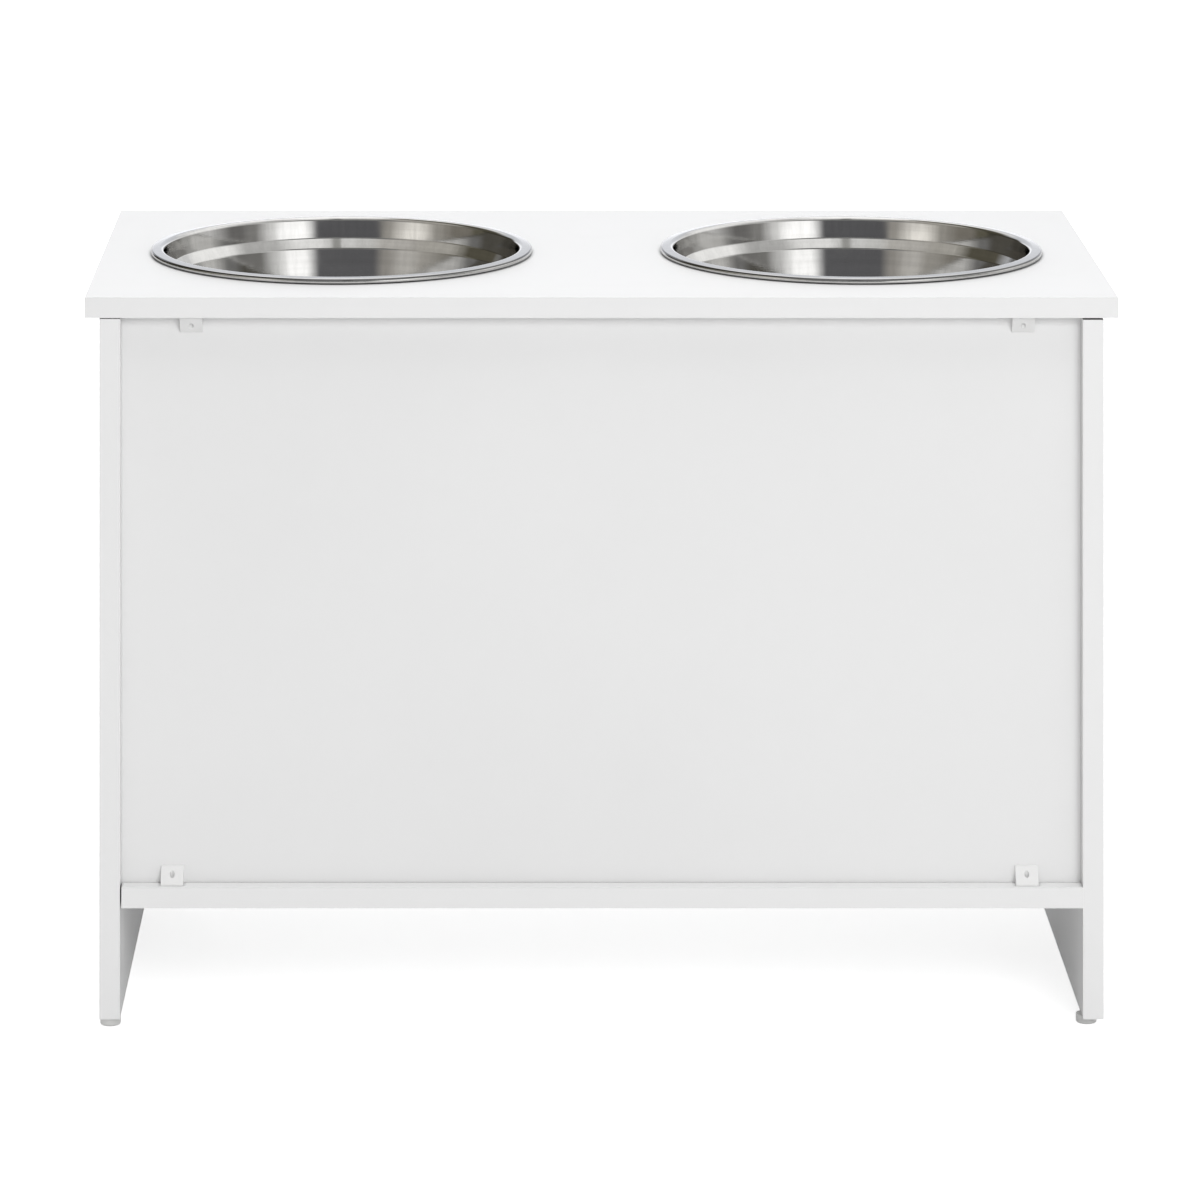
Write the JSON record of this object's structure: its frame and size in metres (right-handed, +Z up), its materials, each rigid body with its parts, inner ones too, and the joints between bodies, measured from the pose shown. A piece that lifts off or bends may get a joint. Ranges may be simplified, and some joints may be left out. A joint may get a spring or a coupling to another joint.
{
  "type": "elevated pet feeder cabinet",
  "caption": "Raised pet feeder: a white board cabinet on glides with hinged storage doors and round steel bowls dropped into cut-outs in the top.",
  "frame": {"origin": "on the floor, under the middle of the object's bounding box, knobs included", "axes": "+X to the right as one faces the doors, +Y to the back of the cabinet, +Z up; the doors face -Y and the pictured back faces +Y"},
  "size_m": [0.6, 0.3286, 0.4278],
  "materials": {
    "white_board": "white melamine-faced particle board, smooth satin face with white edge band",
    "white_hardboard": "thin hardboard with a satin white film",
    "white_plastic": "moulded white plastic, slightly glossy",
    "frosted_plastic": "frosted grey nylon",
    "stainless_steel": "spun stainless steel, polished, with fine turning lines",
    "nickel_plate": "nickel-plated pressed steel",
    "brushed_nickel": "brushed nickel on a turned knob",
    "zinc_plated_steel": "bright zinc-plated steel",
    "zinc_casting": null,
    "beech": "fluted beech dowel",
    "ferrite": "sintered ferrite magnet"
  },
  "bodies": {
    "cabinet": {"top_panel": "white_board", "left_side_panel": "white_board", "right_side_panel": "white_board", "bottom_panel": "white_board", "back_panel": "white_hardboard", "upper_left_back_wedge": "white_plastic", "upper_right_back_wedge": "white_plastic", "lower_left_back_wedge": "white_plastic", "lower_right_back_wedge": "white_plastic", "back_wedge_nails": "zinc_plated_steel", "wooden_dowels": "beech", "cam_bolts": "zinc_plated_steel", "cam_locks": "zinc_casting", "left_front_glide": "frosted_plastic", "left_rear_glide": "frosted_plastic", "right_front_glide": "frosted_plastic", "right_rear_glide": "frosted_plastic", "glide_nails": "zinc_plated_steel", "left_upper_hinge_side_leaf": "nickel_plate", "left_lower_hinge_side_leaf": "nickel_plate", "right_upper_hinge_side_leaf": "nickel_plate", "right_lower_hinge_side_leaf": "nickel_plate", "left_upper_hinge_pin": "nickel_plate", "left_lower_hinge_pin": "nickel_plate", "right_upper_hinge_pin": "nickel_plate", "right_lower_hinge_pin": "nickel_plate", "side_hinge_screws": "zinc_plated_steel", "left_catch_housing": "white_plastic", "right_catch_housing": "white_plastic", "catch_magnets": "ferrite", "catch_pole_plates": "zinc_plated_steel", "catch_screws": "zinc_plated_steel"},
    "left_door": {"left_door": "white_board", "left_upper_hinge_door_leaf": "nickel_plate", "left_lower_hinge_door_leaf": "nickel_plate", "left_door_hinge_screws": "zinc_plated_steel", "left_knob": "brushed_nickel", "left_knob_screw": "zinc_plated_steel", "left_strike_plate": "zinc_plated_steel", "left_strike_screw": "zinc_plated_steel"},
    "right_door": {"right_door": "white_board", "right_upper_hinge_door_leaf": "nickel_plate", "right_lower_hinge_door_leaf": "nickel_plate", "right_door_hinge_screws": "zinc_plated_steel", "right_knob": "brushed_nickel", "right_knob_screw": "zinc_plated_steel", "right_strike_plate": "zinc_plated_steel", "right_strike_screw": "zinc_plated_steel"},
    "left_bowl": {"left_bowl": "stainless_steel"},
    "right_bowl": {"right_bowl": "stainless_steel"}
  },
  "joints": [
    {"name": "left_door_hinge", "type": "hinge", "parent": "cabinet", "child": "left_door", "pos_m": [-0.27845, -0.14495, 0.24675], "axis": [0, 0, -1], "range_deg": [0, 170]},
    {"name": "right_door_hinge", "type": "hinge", "parent": "cabinet", "child": "right_door", "pos_m": [0.27845, -0.14495, 0.24675], "axis": [0, 0, 1], "range_deg": [0, 170]},
    {"name": "left_bowl_lift", "type": "slide", "parent": "cabinet", "child": "left_bowl", "axis": [0, 0, 1], "range_m": [0, 0.09]},
    {"name": "right_bowl_lift", "type": "slide", "parent": "cabinet", "child": "right_bowl", "axis": [0, 0, 1], "range_m": [0, 0.09]}
  ]
}
